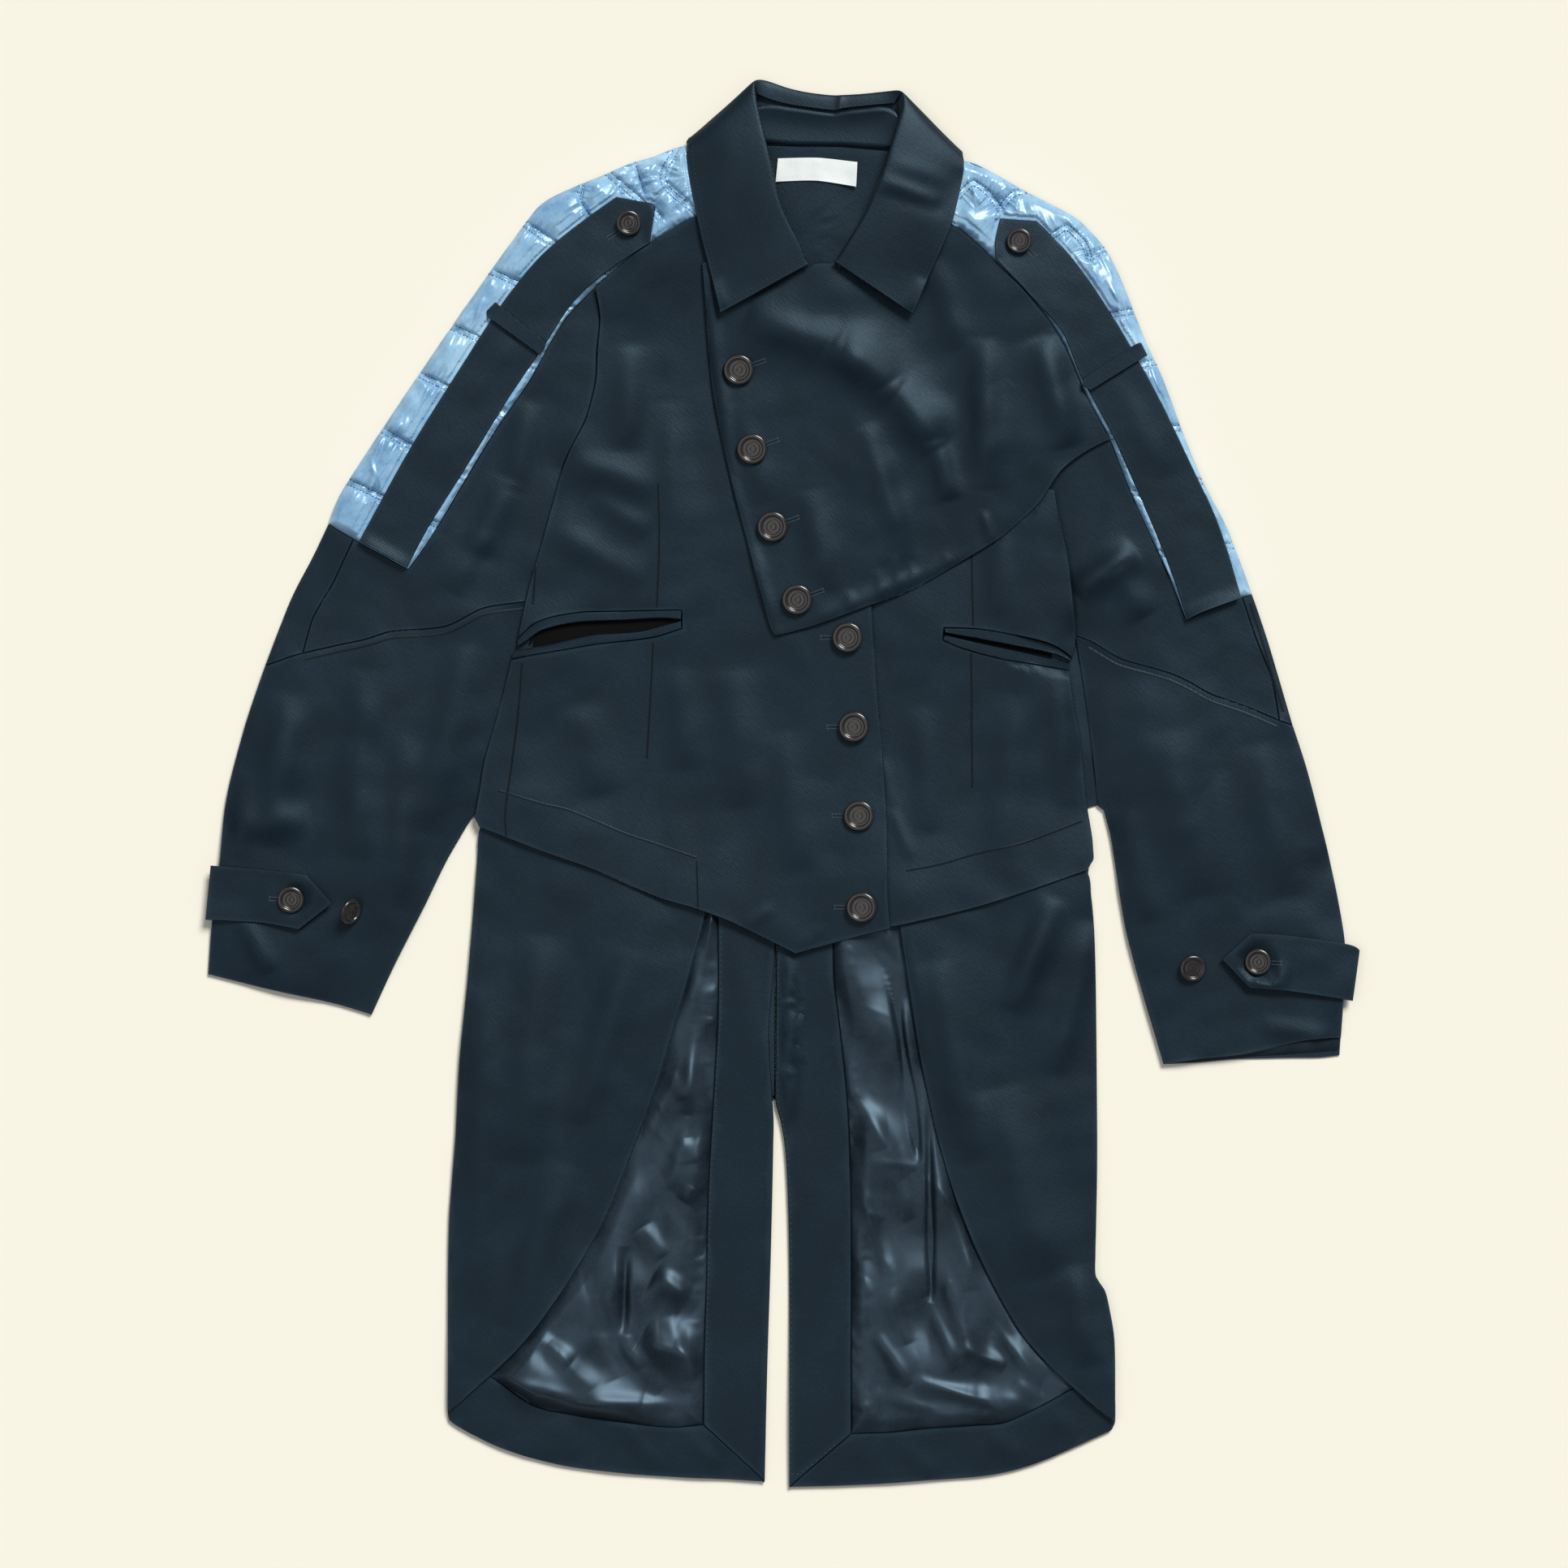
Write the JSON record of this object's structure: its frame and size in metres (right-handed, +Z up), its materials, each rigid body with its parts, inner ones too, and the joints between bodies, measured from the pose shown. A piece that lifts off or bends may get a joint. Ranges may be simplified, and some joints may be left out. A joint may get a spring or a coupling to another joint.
{
  "type": "tailcoat",
  "caption": "Dark twill tailcoat laid flat on its back, with pale quilted sleeve tops, a buttoned storm flap, shoulder straps, cuff tabs and cutaway skirts.",
  "frame": {"origin": "on the surface that the coat lies on, below the middle of its outline", "axes": "+Y from the hem to the collar, +Z up off the surface and out of the coat's front, +X toward the wearer's left sleeve"},
  "size_m": [0.9088, 1.1102, 0.024],
  "materials": {
    "twill": "matt dark blue-grey cotton twill",
    "satin": "dark satin lining with a soft sheen",
    "quilt": "pale blue quilted satin",
    "pocketing": "matt black pocketing",
    "ribbon": "plain off-white woven ribbon",
    "button": "polished brown-black resin"
  },
  "bodies": {
    "root": {"back_left": "twill", "back_right": "twill", "sleeve_under_left": "twill", "sleeve_under_right": "twill", "vent_facing_left": "twill", "vent_facing_right": "twill", "hem_facing_left": "twill", "hem_facing_right": "twill", "neck_facing": "twill", "sleeve_left": "twill", "sleeve_right": "twill", "sleeve_side_left": "twill", "sleeve_side_right": "twill", "forearm_left": "twill", "forearm_right": "twill", "skirt_left": "twill", "skirt_right": "twill", "cuff_tab_left": "twill", "cuff_tab_right": "twill", "front_right": "twill", "front_left": "twill", "welt_upper_left": "twill", "welt_upper_right": "twill", "welt_lower_left": "twill", "welt_lower_right": "twill", "storm_flap": "twill", "strap_left": "twill", "strap_right": "twill", "loop_left": "twill", "loop_right": "twill", "collar_fall": "twill", "collar_stand": "twill", "lining_left": "satin", "lining_right": "satin", "quilt_left": "quilt", "quilt_right": "quilt", "pocket_bag_left": "pocketing", "pocket_bag_right": "pocketing", "label": "ribbon", "flap_button_1": "button", "flap_button_2": "button", "flap_button_3": "button", "flap_button_4": "button", "front_button_1": "button", "front_button_2": "button", "front_button_3": "button", "front_button_4": "button", "strap_button_left": "button", "strap_button_right": "button", "tab_button_left": "button", "tab_button_right": "button", "sleeve_button_left": "button", "sleeve_button_right": "button"}
  },
  "joints": []
}
